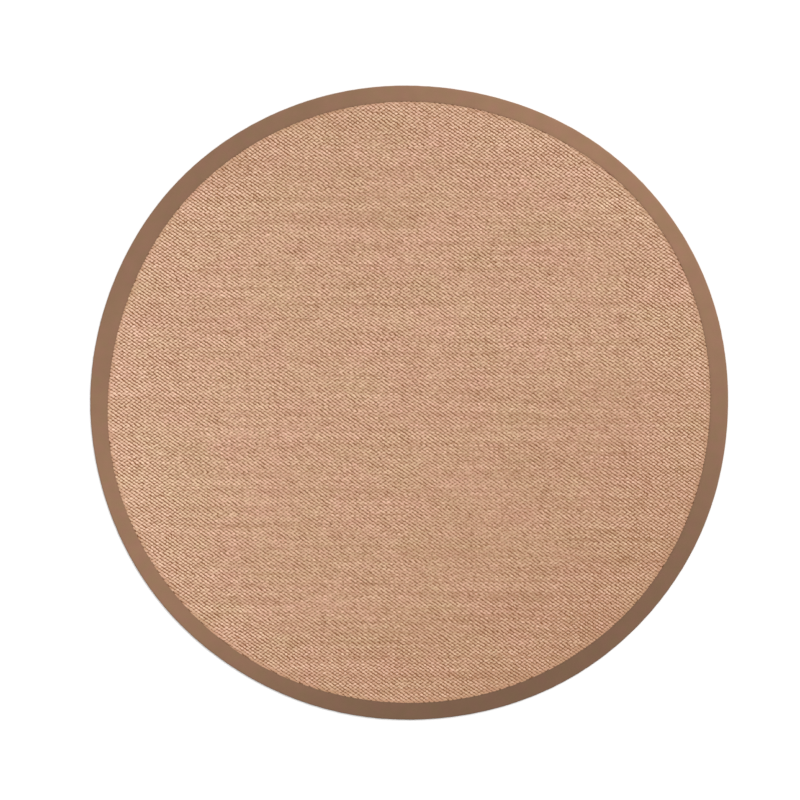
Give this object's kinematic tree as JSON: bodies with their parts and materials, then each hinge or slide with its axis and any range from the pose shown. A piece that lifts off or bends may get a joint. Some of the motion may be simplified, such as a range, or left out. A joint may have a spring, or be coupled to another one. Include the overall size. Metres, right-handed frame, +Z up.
{
  "type": "round sisal rug",
  "caption": "Flat round rug of woven sisal with a cotton tape folded round its edge, lying on its underside.",
  "frame": {"origin": "middle of the rug's box, on the surface that the rug lies on", "axes": "+Z up, the way the rug's face looks; +X along the weft rows of the sisal; +Y across them"},
  "size_m": [2.0004, 1.9886, 0.0073],
  "materials": {
    "sisal_weave": "coarse woven natural fibre, matte",
    "cotton_tape": "smooth close-woven cotton, matte"
  },
  "bodies": {
    "root": {"sisal_field": "sisal_weave", "edge_binding": "cotton_tape"}
  },
  "joints": []
}
